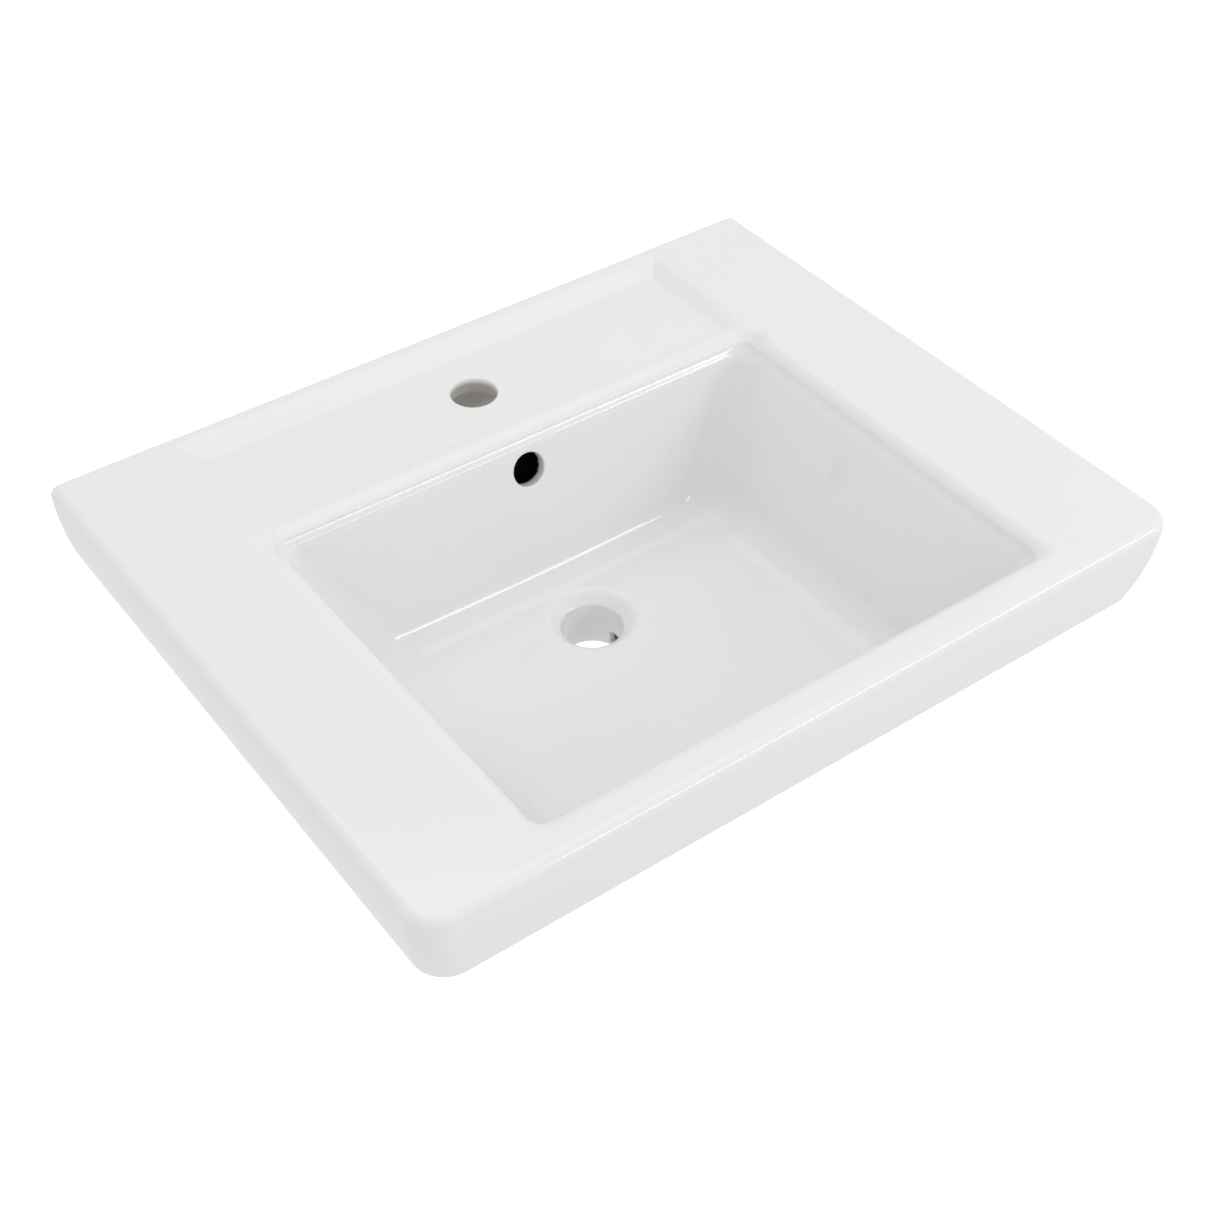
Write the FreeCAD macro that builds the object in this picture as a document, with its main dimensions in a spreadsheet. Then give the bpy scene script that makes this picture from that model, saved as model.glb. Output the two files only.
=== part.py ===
import FreeCAD, Part
import math
import os

import Sketcher
from FreeCAD import Placement, Rotation, Vector

# A wall-hung vitreous china washbasin and the bolts that hold it to the wall.
# +X is to the right, +Y goes into the wall, +Z is up. Every piece is modelled in rim
# coordinates (wall plane at y = 0, rim at z = 0) and then lifted by fixing_drop, which puts
# the origin on the wall plane, midway between the two fixing bolts.

os.makedirs("parts", exist_ok=True)
doc = FreeCAD.newDocument("washbasin")

# ---------------------------------------------------------------- driving dimensions, mm

SIZES = [
    ("width", 610, "overall, left to right"),
    ("depth", 485, "wall to front edge"),
    ("skirt_height", 70, "rim to the lower edge of the skirt"),
    ("skirt_inset", 10.8, "how far the skirt has curved in at its lower edge"),
    ("skirt_wall", 11, "thickness of the skirt at its lower edge"),
    ("deck_thickness", 13, "slab of the deck"),
    ("front_corner_radius", 22, "front corners, seen from above"),
    ("top_edge_radius", 7.5, "rim to skirt, front and sides"),
    ("rear_edge_radius", 2.5, "edges round the wall face"),
    ("bottom_edge_radius", 2, "lower edge of the skirt"),
    ("tap_deck_width", 424, "sunken tap deck, at rim level"),
    ("tap_deck_drop", 7, "rim to tap deck"),
    ("side_step_run", 20, "width of the soft step beside the tap deck"),
    ("rear_step_run", 28, "width of the soft step behind the tap deck"),
    ("rear_ledge", 6, "flat strip along the wall"),
    ("bowl_width", 424, "bowl mouth, at rim level"),
    ("bowl_rear", 135, "wall to the bowl's mouth, at rim level"),
    ("front_rim", 29, "bowl's mouth to the front edge"),
    ("bowl_depth", 121, "rim to bowl floor"),
    ("side_slant", 26.8, "bowl sides, degrees from upright"),
    ("rear_slant", 16, "bowl back, degrees from upright"),
    ("front_slant", 16, "bowl front, degrees from upright"),
    ("mouth_corner_radius", 6, "bowl corners at the rim"),
    ("floor_corner_radius", 30, "bowl corners at the floor"),
    ("floor_fillet", 18, "bowl walls to floor"),
    ("mouth_edge_radius", 8, "rim to bowl walls"),
    ("rear_lip_radius", 13, "tap deck to bowl back"),
    ("bowl_wall", 11, "thickness of the bowl"),
    ("waste_distance", 222, "wall to waste hole"),
    ("waste_hole", 46, "diameter"),
    ("waste_recess", 64, "diameter of the dished seat round the waste hole"),
    ("waste_recess_depth", 8, "bowl floor to waste hole"),
    ("throat_length", 40, "waste hole, top to bottom"),
    ("boss_wall", 11, "wall round the waste hole"),
    ("tap_hole", 35, "diameter"),
    ("tap_distance", 73, "wall to tap hole"),
    ("overflow_hole", 26, "diameter"),
    ("overflow_drop", 34, "rim to overflow hole"),
    ("duct_width", 30, "overflow channel, inside"),
    ("duct_gap", 14, "overflow channel, front to back"),
    ("duct_wall", 9, "wall of the overflow channel"),
    ("port_width", 16, "each mouth of the overflow channel in the throat"),
    ("port_height", 10, "each mouth of the overflow channel in the throat"),
    ("port_lift", 4, "bottom of the throat to the ports"),
    ("panel_width", 392, "wall panel"),
    ("panel_height", 125, "rim to the lower edge of the wall panel"),
    ("panel_thickness", 13, "wall panel"),
    ("panel_corner_radius", 25, "lower corners of the wall panel"),
    ("fixing_spacing", 280, "between the two fixing bolts"),
    ("fixing_drop", 85, "rim to fixing bolts"),
    ("fixing_hole", 16, "diameter through the wall panel"),
    ("bolt_diameter", 10, "M10 hanger bolt, over its threads"),
    ("bolt_room_length", 38, "wall plane to the bolt's free end"),
    ("bolt_wall_length", 66, "wall plane to the bolt's point"),
    ("bolt_point", 9, "length of the wood screw's point"),
    ("bolt_collar", 12, "plain length between the two threads"),
    ("bolt_collar_diameter", 8.8, "plain length between the two threads"),
    ("plug_diameter", 14, "nylon wall plug"),
    ("plug_length", 70, "nylon wall plug"),
    ("plug_mouth", 12, "plain ring at the plug's mouth"),
    ("plug_barbs", 6, "number of barbs along the plug"),
    ("plug_barb", 0.7, "height of a barb"),
    ("plug_slit", 2, "slit that lets the plug spread"),
    ("sleeve_flange", 30, "diameter"),
    ("sleeve_flange_thickness", 3, "collar that the washer presses on"),
    ("sleeve_setback", 1, "wall plane to the sleeve's end"),
    ("sleeve_gap", 0.25, "sleeve to the hole in the wall panel, radial"),
    ("bolt_gap", 0.3, "bolt to the sleeve and washer, radial"),
    ("thread_gap", 0.05, "bolt to nut and wall plug, radial"),
    ("washer_diameter", 24, "outside"),
    ("washer_thickness", 2, ""),
    ("nut_flats", 17, "across flats"),
    ("nut_height", 8, ""),
]

sheet = doc.addObject("Spreadsheet::Sheet", "sizes")
for row, (alias, value, note) in enumerate(SIZES, start=1):
    sheet.set(f"A{row}", alias)
    sheet.set(f"B{row}", str(value))
    sheet.set(f"C{row}", note)
    sheet.setAlias(f"B{row}", alias)
doc.recompute()


def size(alias):
    """The value of one cell of the sheet."""
    return float(sheet.get(alias))


# ---------------------------------------------------------------- helpers


def bind(item, **expressions):
    """Ties properties to expressions of the sheet: a dot is written as two underscores."""
    for name, expression in expressions.items():
        item.setExpression(name.replace("__", "."), expression)


def move(item, x="0", y="0", z="0"):
    bind(item, Placement__Base__x=x, Placement__Base__y=y, Placement__Base__z=z)
    return item


def box(name, length, width, height, x, y, z):
    """A block from its lowest corner."""
    item = doc.addObject("Part::Box", name)
    bind(item, Length=length, Width=width, Height=height)
    return move(item, x, y, z)


def cylinder(name, radius, height, x, y, z, turn=Rotation()):
    """A cylinder that starts at a point and runs along +Z, turned by a rotation."""
    item = doc.addObject("Part::Cylinder", name)
    bind(item, Radius=radius, Height=height)
    item.Placement = Placement(Vector(), turn)
    return move(item, x, y, z)


def fuse(name, shapes):
    item = doc.addObject("Part::MultiFuse", name)
    item.Shapes = shapes
    return item


def common(name, first, second):
    item = doc.addObject("Part::MultiCommon", name)
    item.Shapes = [first, second]
    return item


def cut(name, base, tools):
    """base with every tool taken away."""
    item = doc.addObject("Part::Cut", name)
    item.Base = base
    item.Tool = tools[0] if len(tools) == 1 else fuse(name + "_tools", tools)
    return item


def round_edges(name, base, radii):
    """Rounds every edge of base for which radii(edge) gives its two end radii."""
    doc.recompute()
    chosen = []
    for number, edge in enumerate(base.Shape.Edges, start=1):
        ends = radii(edge)
        if ends:
            chosen.append((number, ends[0], ends[1]))
    if not chosen:
        raise RuntimeError(name + " found no edge to round")
    item = doc.addObject("Part::Fillet", name)
    item.Base = base
    item.Edges = chosen
    return item


def middle(edge):
    """The point halfway along an edge."""
    return edge.valueAt(0.5 * (edge.FirstParameter + edge.LastParameter))


def near(a, b, slack=0.5):
    return abs(a - b) < slack


def is_upright(edge, slack=0.2):
    """Does the edge rise much more than it goes sideways?"""
    run = edge.Vertexes[-1].Point - edge.Vertexes[0].Point
    return abs(run.z) > run.Length * (1 - slack)


# Sketch planes. In both, the second axis is height. FRONT_VIEW looks along +Y and its first
# axis is +X. In SIDE_VIEW the first axis is the distance from the wall.
FRONT_VIEW = Rotation(Vector(1, 0, 0), Vector(0, 0, 1), Vector(0, -1, 0), "XYZ")
SIDE_VIEW = Rotation(Vector(0, -1, 0), Vector(0, 0, 1), Vector(-1, 0, 0), "XYZ")
INTO_WALL = Rotation(Vector(1, 0, 0), -90)


def outline(name, view, edges):
    """A closed sketch of lines and arcs, joined end to start in order."""
    sketch = doc.addObject("Sketcher::SketchObject", name)
    sketch.Placement = Placement(Vector(), view)
    sketch.addGeometry(edges, False)
    return sketch


def corner_line(first, second):
    return Part.LineSegment(Vector(*first, 0), Vector(*second, 0))


def polygon(name, view, corners):
    """A closed sketch of straight lines, each corner held at its two coordinates, which are
    expressions of the sheet."""
    rough = [(math.cos(k), math.sin(k)) for k in range(len(corners))]
    lines = [corner_line(a, b) for a, b in zip(rough, rough[1:] + rough[:1])]
    sketch = outline(name, view, lines)
    for number, (across, up) in enumerate(corners):
        following = (number + 1) % len(corners)
        sketch.addConstraint(Sketcher.Constraint("Coincident", number, 2, following, 1))
        for direction, expression in (("DistanceX", across), ("DistanceY", up)):
            index = sketch.addConstraint(Sketcher.Constraint(direction, number, 1, 1.0))
            sketch.setExpression(f"Constraints[{index}]", expression)
    return sketch


def extrude(name, sketch, direction, length, symmetric=False):
    item = doc.addObject("Part::Extrusion", name)
    item.Base = sketch
    item.DirMode = "Custom"
    item.Dir = direction
    item.Solid = True
    item.Symmetric = symmetric
    bind(item, LengthFwd=length)
    return item


def held(sketch, kind, *where, expression=None):
    """Adds one constraint, and ties it to the sheet where an expression is given."""
    index = sketch.addConstraint(Sketcher.Constraint(kind, *where))
    if expression:
        sketch.setExpression(f"Constraints[{index}]", expression)


START, END, CENTRE = 1, 2, 3
X_AXIS, Y_AXIS = -1, -2

# ---------------------------------------------------------------- basin: outer block


def skirt_arc(half_width, drop, inset, mirrored=False):
    """The bulging side of the skirt: upright at the rim, curved in by inset at the bottom."""
    radius = (drop * drop + inset * inset) / (2 * inset)
    sweep = math.asin(drop / radius)
    side = -1 if mirrored else 1
    circle = Part.Circle(Vector(side * (half_width - radius), 0, 0), Vector(0, 0, 1), radius)
    if mirrored:
        return Part.ArcOfCircle(circle, math.pi, math.pi + sweep)
    return Part.ArcOfCircle(circle, -sweep, 0)


def front_outline():
    """Seen from the front: flat rim, bulging sides, flat lower edge."""
    half = size("width") / 2
    foot = half - size("skirt_inset")
    drop = size("skirt_height")
    sketch = outline("front_outline", FRONT_VIEW, [
        corner_line((-half, 0), (half, 0)),
        skirt_arc(half, drop, size("skirt_inset")),
        corner_line((foot, -drop), (-foot, -drop)),
        skirt_arc(half, drop, size("skirt_inset"), mirrored=True),
    ])
    held(sketch, "Coincident", 0, END, 1, END)
    held(sketch, "Coincident", 1, START, 2, START)
    held(sketch, "Coincident", 2, END, 3, END)
    held(sketch, "Coincident", 3, START, 0, START)
    held(sketch, "PointOnObject", 0, START, X_AXIS)
    held(sketch, "Symmetric", 0, START, 0, END, Y_AXIS)
    held(sketch, "Symmetric", 2, START, 2, END, Y_AXIS)
    held(sketch, "PointOnObject", 1, CENTRE, X_AXIS)
    held(sketch, "PointOnObject", 3, CENTRE, X_AXIS)
    held(sketch, "DistanceX", 0, START, 0, END, 2 * half, expression="sizes.width")
    held(sketch, "DistanceX", 2, END, 2, START, 2 * foot,
         expression="sizes.width - 2 * sizes.skirt_inset")
    held(sketch, "DistanceY", 2, START, X_AXIS, START, drop, expression="sizes.skirt_height")
    return sketch


def side_outline():
    """Seen from the side: flat rim, bulging front, flat lower edge, upright back."""
    depth = size("depth")
    foot = depth - size("skirt_inset")
    drop = size("skirt_height")
    sketch = outline("side_outline", SIDE_VIEW, [
        corner_line((0, 0), (depth, 0)),
        skirt_arc(depth, drop, size("skirt_inset")),
        corner_line((foot, -drop), (0, -drop)),
        corner_line((0, -drop), (0, 0)),
    ])
    held(sketch, "Coincident", 0, START, X_AXIS, START)
    held(sketch, "Coincident", 0, END, 1, END)
    held(sketch, "Coincident", 1, START, 2, START)
    held(sketch, "Coincident", 2, END, 3, START)
    held(sketch, "Coincident", 3, END, 0, START)
    held(sketch, "PointOnObject", 0, END, X_AXIS)
    held(sketch, "PointOnObject", 1, CENTRE, X_AXIS)
    held(sketch, "Horizontal", 2)
    held(sketch, "Vertical", 3)
    held(sketch, "DistanceX", 0, START, 0, END, depth, expression="sizes.depth")
    held(sketch, "DistanceX", 2, END, 2, START, foot,
         expression="sizes.depth - sizes.skirt_inset")
    held(sketch, "DistanceY", 3, START, 3, END, drop, expression="sizes.skirt_height")
    return sketch


def outer_block():
    """The basin's outside as one solid lump, with its edges rounded."""
    along = extrude("along", front_outline(), Vector(0, -1, 0), "sizes.depth")
    across = extrude("across", side_outline(), Vector(1, 0, 0), "sizes.width", symmetric=True)
    lump = common("lump", along, across)
    depth, half, drop = size("depth"), size("width") / 2, size("skirt_height")
    corner = [size("front_corner_radius")] * 2
    top = [size("top_edge_radius")] * 2
    rear = [size("rear_edge_radius")] * 2
    bottom = [size("bottom_edge_radius")] * 2

    def front_corners(edge):
        spot = middle(edge)
        return corner if is_upright(edge, 0.5) and spot.y < -depth / 2 else None

    def rim(edge):
        return top if near(middle(edge).z, 0) and not near(middle(edge).y, 0) else None

    def wall_face(edge):
        spot = middle(edge)
        return rear if near(spot.y, 0) and not near(spot.z, -drop) else None

    def lower(edge):
        spot = middle(edge)
        return bottom if near(spot.z, -drop) and not near(spot.y, 0) else None

    block = round_edges("corners_rounded", lump, front_corners)
    block = round_edges("rim_rounded", block, rim)
    block = round_edges("wall_edges_rounded", block, wall_face)
    return round_edges("outer_block", block, lower)


# ---------------------------------------------------------------- basin: bowl and tap deck


def frustum(name, grow, floor, top):
    """A tapered block that follows the bowl's four slanted walls from height floor up to height
    top (expressions), set back by grow from them."""
    item = doc.addObject("Part::Wedge", name)
    item.Placement = Placement(Vector(), Rotation(Vector(1, 0, 0), 90))
    side = f"(sizes.bowl_width / 2 + ({grow}) / cos(sizes.side_slant * 1 deg)"
    rear = f"(sizes.bowl_rear - ({grow}) / cos(sizes.rear_slant * 1 deg)"
    front = f"(sizes.depth - sizes.front_rim + ({grow}) / cos(sizes.front_slant * 1 deg)"
    for level, prefix, z in (("Ymin", "", floor), ("Ymax", "2", top)):
        lean_side = f" + ({z}) * tan(sizes.side_slant * 1 deg))"
        lean_rear = f" - ({z}) * tan(sizes.rear_slant * 1 deg))"
        lean_front = f" + ({z}) * tan(sizes.front_slant * 1 deg))"
        bind(item, **{
            level: z,
            f"X{prefix}min": f"-{side}{lean_side}",
            f"X{prefix}max": f"{side}{lean_side}",
            f"Z{prefix}min": f"{rear}{lean_rear}",
            f"Z{prefix}max": f"{front}{lean_front}",
        })
    return item


def rounded_frustum(name, grow, floor, top, corner_low, corner_high, foot):
    """A frustum with its four leaning corners and its floor edge rounded."""
    raw = frustum(name + "_raw", grow, floor, top)
    doc.recompute()
    lowest = raw.Shape.BoundBox.ZMin

    def leaning(edge):
        if not is_upright(edge, 0.5):
            return None
        rising = edge.valueAt(edge.LastParameter).z > edge.valueAt(edge.FirstParameter).z
        return (corner_low, corner_high) if rising else (corner_high, corner_low)

    def floor_edge(edge):
        return (foot, foot) if near(middle(edge).z, lowest) else None

    return round_edges(name, round_edges(name + "_corners", raw, leaning), floor_edge)


def bowl_cavity():
    return rounded_frustum(
        "bowl_cavity", "0", "-sizes.bowl_depth", "20",
        size("floor_corner_radius"), size("mouth_corner_radius"), size("floor_fillet"))


def bowl_outside():
    wall = size("bowl_wall")
    return rounded_frustum(
        "bowl_outside", "sizes.bowl_wall", "-sizes.bowl_depth - sizes.bowl_wall",
        "-sizes.deck_thickness / 2", size("floor_corner_radius") + wall,
        size("mouth_corner_radius") + wall, size("floor_fillet") + wall)


def step_arcs(edge_x, run, drop, side):
    """The two arcs of a soft step that goes down by drop over run, towards side."""
    radius = (run * run + drop * drop) / (4 * drop)
    sweep = math.asin(run / 2 / radius)
    up = math.pi / 2
    high = Part.Circle(Vector(edge_x, -radius, 0), Vector(0, 0, 1), radius)
    low = Part.Circle(Vector(edge_x + side * run, radius - drop, 0), Vector(0, 0, 1), radius)
    if side > 0:
        return (Part.ArcOfCircle(high, up - sweep, up),
                Part.ArcOfCircle(low, 3 * up - sweep, 3 * up))
    return (Part.ArcOfCircle(high, up, up + sweep),
            Part.ArcOfCircle(low, 3 * up, 3 * up + sweep))


def recess_across():
    """The sunken tap deck seen from the front: a soft step down at each side."""
    half, drop = size("tap_deck_width") / 2, size("tap_deck_drop")
    run = size("side_step_run")
    above = drop
    left_high, left_low = step_arcs(-half, run, drop, 1)
    right_high, right_low = step_arcs(half, run, drop, -1)
    sketch = outline("recess_across", FRONT_VIEW, [
        corner_line((half, above), (-half, above)),
        corner_line((-half, above), (-half, 0)),
        left_high,
        left_low,
        corner_line((-half + run, -drop), (half - run, -drop)),
        right_low,
        right_high,
        corner_line((half, 0), (half, above)),
    ])
    held(sketch, "Coincident", 0, END, 1, START)
    held(sketch, "Coincident", 1, END, 2, END)
    held(sketch, "Tangent", 2, START, 3, START)
    held(sketch, "Coincident", 3, END, 4, START)
    held(sketch, "Coincident", 4, END, 5, START)
    held(sketch, "Tangent", 5, END, 6, END)
    held(sketch, "Coincident", 6, START, 7, START)
    held(sketch, "Coincident", 7, END, 0, START)
    held(sketch, "Vertical", 1)
    held(sketch, "Vertical", 2, CENTRE, 2, END)
    held(sketch, "Vertical", 3, CENTRE, 3, END)
    held(sketch, "Equal", 2, 3)
    held(sketch, "Symmetric", 0, START, 0, END, Y_AXIS)
    held(sketch, "Symmetric", 1, END, 7, START, Y_AXIS)
    held(sketch, "Symmetric", 4, START, 4, END, Y_AXIS)
    held(sketch, "Vertical", 5, CENTRE, 5, START)
    held(sketch, "Vertical", 6, CENTRE, 6, START)
    held(sketch, "Equal", 5, 6)
    held(sketch, "PointOnObject", 1, END, X_AXIS)
    held(sketch, "DistanceY", 1, END, 1, START, above, expression="sizes.tap_deck_drop")
    held(sketch, "DistanceX", 0, END, 0, START, 2 * half, expression="sizes.tap_deck_width")
    held(sketch, "DistanceX", 4, START, 4, END, 2 * (half - run),
         expression="sizes.tap_deck_width - 2 * sizes.side_step_run")
    held(sketch, "DistanceY", 4, START, X_AXIS, START, drop, expression="sizes.tap_deck_drop")
    return sketch


def recess_along():
    """The sunken tap deck seen from the side: a soft step down from the ledge at the wall."""
    ledge, drop, run = size("rear_ledge"), size("tap_deck_drop"), size("rear_step_run")
    mouth = size("bowl_rear") + size("tap_deck_drop")
    above = drop
    high, low = step_arcs(ledge, run, drop, 1)
    sketch = outline("recess_along", SIDE_VIEW, [
        corner_line((mouth, above), (ledge, above)),
        corner_line((ledge, above), (ledge, 0)),
        high,
        low,
        corner_line((ledge + run, -drop), (mouth, -drop)),
        corner_line((mouth, -drop), (mouth, above)),
    ])
    held(sketch, "Coincident", 0, END, 1, START)
    held(sketch, "Coincident", 1, END, 2, END)
    held(sketch, "Tangent", 2, START, 3, START)
    held(sketch, "Coincident", 3, END, 4, START)
    held(sketch, "Coincident", 4, END, 5, START)
    held(sketch, "Coincident", 5, END, 0, START)
    held(sketch, "Horizontal", 0)
    held(sketch, "Vertical", 1)
    held(sketch, "Horizontal", 4)
    held(sketch, "Vertical", 5)
    held(sketch, "Vertical", 2, CENTRE, 2, END)
    held(sketch, "Vertical", 3, CENTRE, 3, END)
    held(sketch, "Equal", 2, 3)
    held(sketch, "PointOnObject", 1, END, X_AXIS)
    held(sketch, "DistanceY", 1, END, 1, START, above, expression="sizes.tap_deck_drop")
    held(sketch, "DistanceX", X_AXIS, START, 1, END, ledge, expression="sizes.rear_ledge")
    held(sketch, "DistanceX", 1, END, 4, START, run, expression="sizes.rear_step_run")
    held(sketch, "DistanceX", X_AXIS, START, 4, END, mouth,
         expression="sizes.bowl_rear + sizes.tap_deck_drop")
    held(sketch, "DistanceY", 4, START, X_AXIS, START, drop, expression="sizes.tap_deck_drop")
    return sketch


def tap_deck_recess():
    """Everything above the tap deck. It ends inside the bowl's mouth."""
    across = extrude("recess_lengthwise", recess_across(), Vector(0, -1, 0), "sizes.depth / 2")
    along = extrude("recess_crosswise", recess_along(), Vector(1, 0, 0), "sizes.width",
                    symmetric=True)
    return common("tap_deck_recess", across, along)


# ---------------------------------------------------------------- basin: overflow channel


def wall_line(z, offset):
    """Distance from the wall, as an expression, of a line parallel to the bowl's back: offset
    behind its inner face, at height z."""
    return (f"sizes.bowl_rear - ({z}) * tan(sizes.rear_slant * 1 deg)"
            f" - ({offset}) / cos(sizes.rear_slant * 1 deg)")


UNDER_DECK = "-sizes.tap_deck_drop - sizes.deck_thickness"
THROAT_END = "-sizes.bowl_depth - sizes.waste_recess_depth - sizes.throat_length"
PORT_FLOOR = f"{THROAT_END} + sizes.port_lift"
PORT_ROOF = f"{PORT_FLOOR} + sizes.port_height"
THROAT_SIDE = "sizes.waste_distance - sizes.waste_hole / 2"
CHANNEL_TOP = (wall_line(UNDER_DECK, "sizes.bowl_wall"), UNDER_DECK)
BOWL_FOOT = wall_line("-sizes.bowl_depth", "sizes.bowl_wall")


def channel(name, spread, half_width, front):
    """The overflow channel down the bowl's back to the throat, or its outside where spread is
    its wall: a side view of it, extruded both ways. front is its side towards the bowl."""
    back = f"sizes.bowl_wall + sizes.duct_gap + {spread}"
    neck = f"{PORT_ROOF} + {spread}"
    foot = f"max({PORT_FLOOR} - {spread}; {THROAT_END})"
    sketch = polygon(name + "_outline", SIDE_VIEW, front + [
        (THROAT_SIDE, foot),
        (wall_line(neck, back), foot),
        (wall_line(neck, back), neck),
        (wall_line(UNDER_DECK, back), UNDER_DECK),
    ])
    return extrude(name, sketch, Vector(1, 0, 0), f"2 * ({half_width})", symmetric=True)


def overflow_channel():
    """The void: the channel, and a yoke that leads it round the throat to a port each side."""
    reach = "sizes.waste_hole / 2 + sizes.boss_wall"
    down = channel("channel_run", "0", "sizes.duct_width / 2", [
        CHANNEL_TOP, (BOWL_FOOT, "-sizes.bowl_depth"), (BOWL_FOOT, PORT_ROOF),
        (THROAT_SIDE, PORT_ROOF)])
    ring = cylinder("yoke_ring", reach, "sizes.port_height", "0", "-sizes.waste_distance",
                    PORT_FLOOR)
    rear_half = box("yoke_half", f"2 * ({reach})", f"{reach} + sizes.port_width / 2",
                    "sizes.port_height", f"-({reach})",
                    "-sizes.waste_distance - sizes.port_width / 2", PORT_FLOOR)
    yoke = common("yoke", ring, rear_half)
    lining = cylinder("throat_lining", "sizes.waste_hole / 2 + sizes.boss_wall / 2",
                      "sizes.throat_length", "0", "-sizes.waste_distance", THROAT_END)
    round_throat = cut("channel_round_throat", fuse("channel_and_yoke", [down, yoke]), [lining])
    slot = box("port_slot", f"2 * ({reach})", "sizes.port_width", "sizes.port_height",
               f"-({reach})", "-sizes.waste_distance - sizes.port_width / 2", PORT_FLOOR)
    outer = cylinder("port_reach", "sizes.waste_hole / 2 + 3 * sizes.boss_wall / 4",
                     "sizes.port_height", "0", "-sizes.waste_distance", PORT_FLOOR)
    return fuse("overflow_channel", [round_throat, common("ports", slot, outer)])


# ---------------------------------------------------------------- basin


def wall_panel():
    """The slab that lies against the wall and takes the two fixing bolts."""
    raw = box("panel_raw", "sizes.panel_width", "sizes.panel_thickness",
              "sizes.panel_height - sizes.deck_thickness / 2",
              "-sizes.panel_width / 2", "-sizes.panel_thickness", "-sizes.panel_height")
    radius = [size("panel_corner_radius")] * 2
    low = -size("panel_height")

    def lower_corners(edge):
        spot = middle(edge)
        along_y = near(edge.Length, size("panel_thickness"), 0.01)
        return radius if along_y and near(spot.z, low) else None

    return round_edges("wall_panel", raw, lower_corners)


def hollow():
    """The space inside the skirt, open below."""
    inside = "(sizes.width / 2 - sizes.skirt_inset - sizes.skirt_wall)"
    reach = "(sizes.depth - sizes.skirt_inset - sizes.skirt_wall)"
    raw = box("hollow_raw", f"2 * {inside}", f"{reach} - sizes.panel_thickness",
              "sizes.skirt_height", f"-{inside}", f"-{reach}",
              "-sizes.skirt_height - sizes.deck_thickness")
    radius = [size("front_corner_radius") - size("skirt_wall") / 2] * 2
    return round_edges("hollow", raw, lambda edge: radius if is_upright(edge) else None)


def basin_lump():
    """Deck, skirt, bowl, wall panel, drain boss and channel walls, with no holes yet."""
    shell = cut("shell", outer_block(), [hollow()])
    half = "(sizes.tap_deck_width / 2 + sizes.deck_thickness)"
    tap_slab = box("tap_slab", f"2 * {half}", "sizes.bowl_rear + sizes.bowl_wall",
                   "sizes.tap_deck_drop + sizes.deck_thickness / 2", f"-{half}",
                   "-sizes.bowl_rear - sizes.bowl_wall", UNDER_DECK)
    boss = cylinder("boss", "sizes.waste_hole / 2 + sizes.boss_wall + sizes.duct_wall",
                    f"-sizes.bowl_depth - ({THROAT_END})", "0", "-sizes.waste_distance",
                    THROAT_END)
    duct = channel("duct", "sizes.duct_wall", "sizes.duct_width / 2 + sizes.duct_wall",
                   [CHANNEL_TOP, (THROAT_SIDE, "-sizes.bowl_depth")])
    return fuse("basin_lump",
                [shell, tap_slab, bowl_outside(), boss, duct, wall_panel()])


def seat_cone():
    """The dished seat round the waste hole."""
    item = doc.addObject("Part::Cone", "seat_cone")
    bind(item, Radius1="sizes.waste_hole / 2", Radius2="sizes.waste_recess / 2",
         Height="sizes.waste_recess_depth")
    return move(item, "0", "-sizes.waste_distance",
                "-sizes.bowl_depth - sizes.waste_recess_depth")


def overflow_bore():
    """Square to the bowl's back, from the bowl into the overflow channel."""
    turn = Rotation(Vector(1, 0, 0), 90 - size("rear_slant"))
    start = wall_line("-sizes.overflow_drop", "sizes.bowl_wall + sizes.duct_gap / 2")
    lift = "(sizes.bowl_wall + sizes.duct_gap / 2) * sin(sizes.rear_slant * 1 deg)"
    return cylinder("overflow_bore", "sizes.overflow_hole / 2",
                    "3 * sizes.bowl_wall", "0",
                    f"-({start}) - ({lift}) * tan(sizes.rear_slant * 1 deg)",
                    f"-sizes.overflow_drop - {lift}", turn)


def fixing_x(side):
    return f"{side} * sizes.fixing_spacing / 2"


def fixing_hole(side):
    return cylinder(f"fixing_hole_{side}", "sizes.fixing_hole / 2",
                    "3 * sizes.panel_thickness", fixing_x(side), "-2 * sizes.panel_thickness",
                    "-sizes.fixing_drop", INTO_WALL)


def basin():
    tap_bore = cylinder("tap_bore", "sizes.tap_hole / 2", "4 * sizes.deck_thickness", "0",
                        "-sizes.tap_distance", "-3 * sizes.deck_thickness")
    waste_bore = cylinder("waste_bore", "sizes.waste_hole / 2", "2 * sizes.throat_length", "0",
                          "-sizes.waste_distance", f"{THROAT_END} - sizes.port_lift")
    tools = [tap_deck_recess(), bowl_cavity(), seat_cone(), tap_bore, waste_bore,
             overflow_bore(), overflow_channel(), fixing_hole(-1), fixing_hole(1)]
    sharp = cut("basin_with_sharp_mouth", basin_lump(), tools)
    lip_end = -size("tap_deck_drop") / 2

    def mouth_edges(edge):
        ends = [edge.valueAt(edge.FirstParameter), edge.valueAt(edge.LastParameter)]
        spot = middle(edge)
        at_mouth = (min(end.z for end in ends) > -size("tap_deck_drop") - 0.1
                    and abs(spot.x) < size("bowl_width") / 2 + 3
                    and size("bowl_rear") - 6 < -spot.y < size("depth") - size("front_rim") + 3)
        if not at_mouth:
            return None
        return [size("rear_lip_radius") if end.z < lip_end else size("mouth_edge_radius")
                for end in ends]

    return round_edges("basin", sharp, mouth_edges)


# ---------------------------------------------------------------- wall fixings


def turned(name, corners):
    """A turned piece on the bolt's axis: corners are (radius, distance into the wall)."""
    item = doc.addObject("Part::Revolution", name)
    item.Source = polygon(name + "_outline", Rotation(), corners)
    item.Axis = Vector(0, 1, 0)
    item.Angle = 360
    item.Solid = True
    return item


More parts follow.
